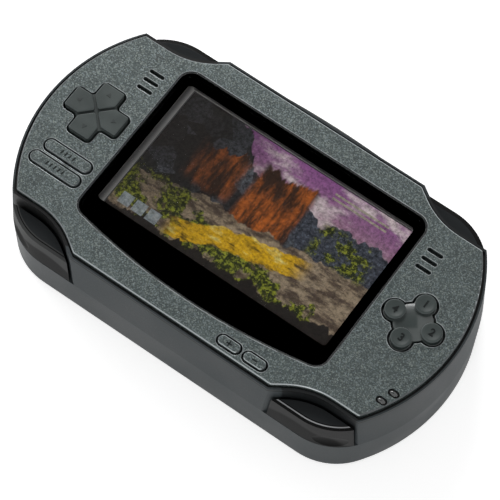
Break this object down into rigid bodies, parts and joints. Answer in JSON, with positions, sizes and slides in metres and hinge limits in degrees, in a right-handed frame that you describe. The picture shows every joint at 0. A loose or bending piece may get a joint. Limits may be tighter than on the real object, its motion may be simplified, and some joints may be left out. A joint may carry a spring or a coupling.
{
  "type": "handheld game console",
  "caption": "Wide handheld game console with a bowed screen window, direction pad, round action pad, option and menu buttons and hinged corner triggers.",
  "frame": {"origin": "middle of the bounding box, on the face the console rests on", "axes": "+X along the console to the action pad, +Y towards the top of the picture, +Z out of the screen"},
  "size_m": [0.1546, 0.0866, 0.0376],
  "materials": {
    "gunmetal_paint": "metallic paint on plastic",
    "housing_plastic": "satin",
    "trigger_plastic": "smoky gloss",
    "pad_plastic": "semi-gloss",
    "window_clear": "clear",
    "mask_black": "black print",
    "frame_plastic": "satin",
    "screen_glass": "picture",
    "backlight_white": "white",
    "ribbon_amber": "film",
    "board_green": "solder mask",
    "chip_black": "matt",
    "steel": "bright",
    "contact_metal": "plated",
    "mesh_steel": "black",
    "light_guide": "translucent",
    "rubber": "matt",
    "cell_jacket": "printed jacket",
    "pivot_plastic": "plain"
  },
  "bodies": {
    "console": {"face_plate": "gunmetal_paint", "upper_housing": "housing_plastic", "lower_housing": "housing_plastic", "top_trim_strip": "housing_plastic", "screen_window": "window_clear", "window_mask": "mask_black", "display_frame": "frame_plastic", "lcd_panel": "screen_glass", "backlight_panel": "backlight_white", "display_ribbon": "ribbon_amber", "main_board": "board_green", "board_chips": "chip_black", "display_connector": "chip_black", "power_switch": "chip_black", "left_speaker": "chip_black", "right_speaker": "chip_black", "trigger_pins": "steel", "trigger_switches": "steel", "housing_screws": "steel", "board_screws": "steel", "battery_springs": "steel", "pivot_posts": "pivot_plastic", "battery_contacts": "contact_metal", "left_speaker_mesh": "mesh_steel", "right_speaker_mesh": "mesh_steel", "indicator_guide": "light_guide", "dpad_membrane": "rubber", "action_membrane": "rubber", "option_membrane": "rubber", "menu_membrane": "rubber", "battery_cell_1": "cell_jacket", "battery_cell_2": "cell_jacket", "battery_cell_3": "cell_jacket", "battery_cell_4": "cell_jacket"},
    "dpad_rocker": {"dpad_pivot_ball": "pivot_plastic"},
    "dpad_cap": {"dpad": "pad_plastic"},
    "action_rocker": {"action_pivot_ball": "pivot_plastic"},
    "action_cap": {"action_pad": "pad_plastic"},
    "upper_option_button": {"upper_option_button": "gunmetal_paint"},
    "lower_option_button": {"lower_option_button": "gunmetal_paint"},
    "left_menu_button": {"left_menu_button": "gunmetal_paint"},
    "right_menu_button": {"right_menu_button": "gunmetal_paint"},
    "back_right_trigger": {"back_right_trigger": "trigger_plastic"},
    "back_left_trigger": {"back_left_trigger": "trigger_plastic"},
    "front_right_trigger": {"front_right_trigger": "trigger_plastic"},
    "front_left_trigger": {"front_left_trigger": "trigger_plastic"},
    "battery_cover": {"battery_cover": "housing_plastic"},
    "power_switch_knob": {"power_switch_knob": "chip_black"}
  },
  "joints": [
    {"name": "dpad_tilt_up_down", "type": "hinge", "parent": "console", "child": "dpad_rocker", "pos_m": [-0.0598, 0.0016, 0.0304], "axis": [1, 0, 0], "range_deg": [-4, 4], "stiffness_Nm_per_rad": 0.15},
    {"name": "dpad_tilt_left_right", "type": "hinge", "parent": "dpad_rocker", "child": "dpad_cap", "pos_m": [-0.0598, 0.0016, 0.0304], "axis": [0, 1, 0], "range_deg": [-4, 4], "stiffness_Nm_per_rad": 0.15},
    {"name": "action_tilt_up_down", "type": "hinge", "parent": "console", "child": "action_rocker", "pos_m": [0.06, 0.00055, 0.0304], "axis": [1, 0, 0], "range_deg": [-4, 4], "stiffness_Nm_per_rad": 0.15},
    {"name": "action_tilt_left_right", "type": "hinge", "parent": "action_rocker", "child": "action_cap", "pos_m": [0.06, 0.00055, 0.0304], "axis": [0, 1, 0], "range_deg": [-4, 4], "stiffness_Nm_per_rad": 0.15},
    {"name": "upper_option_button_press", "type": "slide", "parent": "console", "child": "upper_option_button", "axis": [0, 0, -1], "range_m": [0, 0.0009], "stiffness_N_per_m": 400},
    {"name": "lower_option_button_press", "type": "slide", "parent": "console", "child": "lower_option_button", "axis": [0, 0, -1], "range_m": [0, 0.0009], "stiffness_N_per_m": 400},
    {"name": "left_menu_button_press", "type": "slide", "parent": "console", "child": "left_menu_button", "axis": [0, 0, -1], "range_m": [0, 0.0009], "stiffness_N_per_m": 400},
    {"name": "right_menu_button_press", "type": "slide", "parent": "console", "child": "right_menu_button", "axis": [0, 0, -1], "range_m": [0, 0.0009], "stiffness_N_per_m": 400},
    {"name": "back_right_trigger_press", "type": "hinge", "parent": "console", "child": "back_right_trigger", "pos_m": [0.0475, 0.03125, 0.024], "axis": [0, 0, -1], "range_deg": [0, 2.4], "stiffness_Nm_per_rad": 0.4},
    {"name": "back_left_trigger_press", "type": "hinge", "parent": "console", "child": "back_left_trigger", "pos_m": [-0.0475, 0.03125, 0.024], "axis": [0, 0, 1], "range_deg": [0, 2.4], "stiffness_Nm_per_rad": 0.4},
    {"name": "front_right_trigger_press", "type": "hinge", "parent": "console", "child": "front_right_trigger", "pos_m": [0.0475, -0.03235, 0.024], "axis": [0, 0, 1], "range_deg": [0, 2.4], "stiffness_Nm_per_rad": 0.4},
    {"name": "front_left_trigger_press", "type": "hinge", "parent": "console", "child": "front_left_trigger", "pos_m": [-0.0475, -0.03235, 0.024], "axis": [0, 0, -1], "range_deg": [0, 2.4], "stiffness_Nm_per_rad": 0.4},
    {"name": "battery_cover_slide", "type": "slide", "parent": "console", "child": "battery_cover", "axis": [0, 1, 0], "range_m": [0, 0.04]},
    {"name": "power_switch_slide", "type": "slide", "parent": "console", "child": "power_switch_knob", "axis": [1, 0, 0], "range_m": [0, 0.003]}
  ]
}
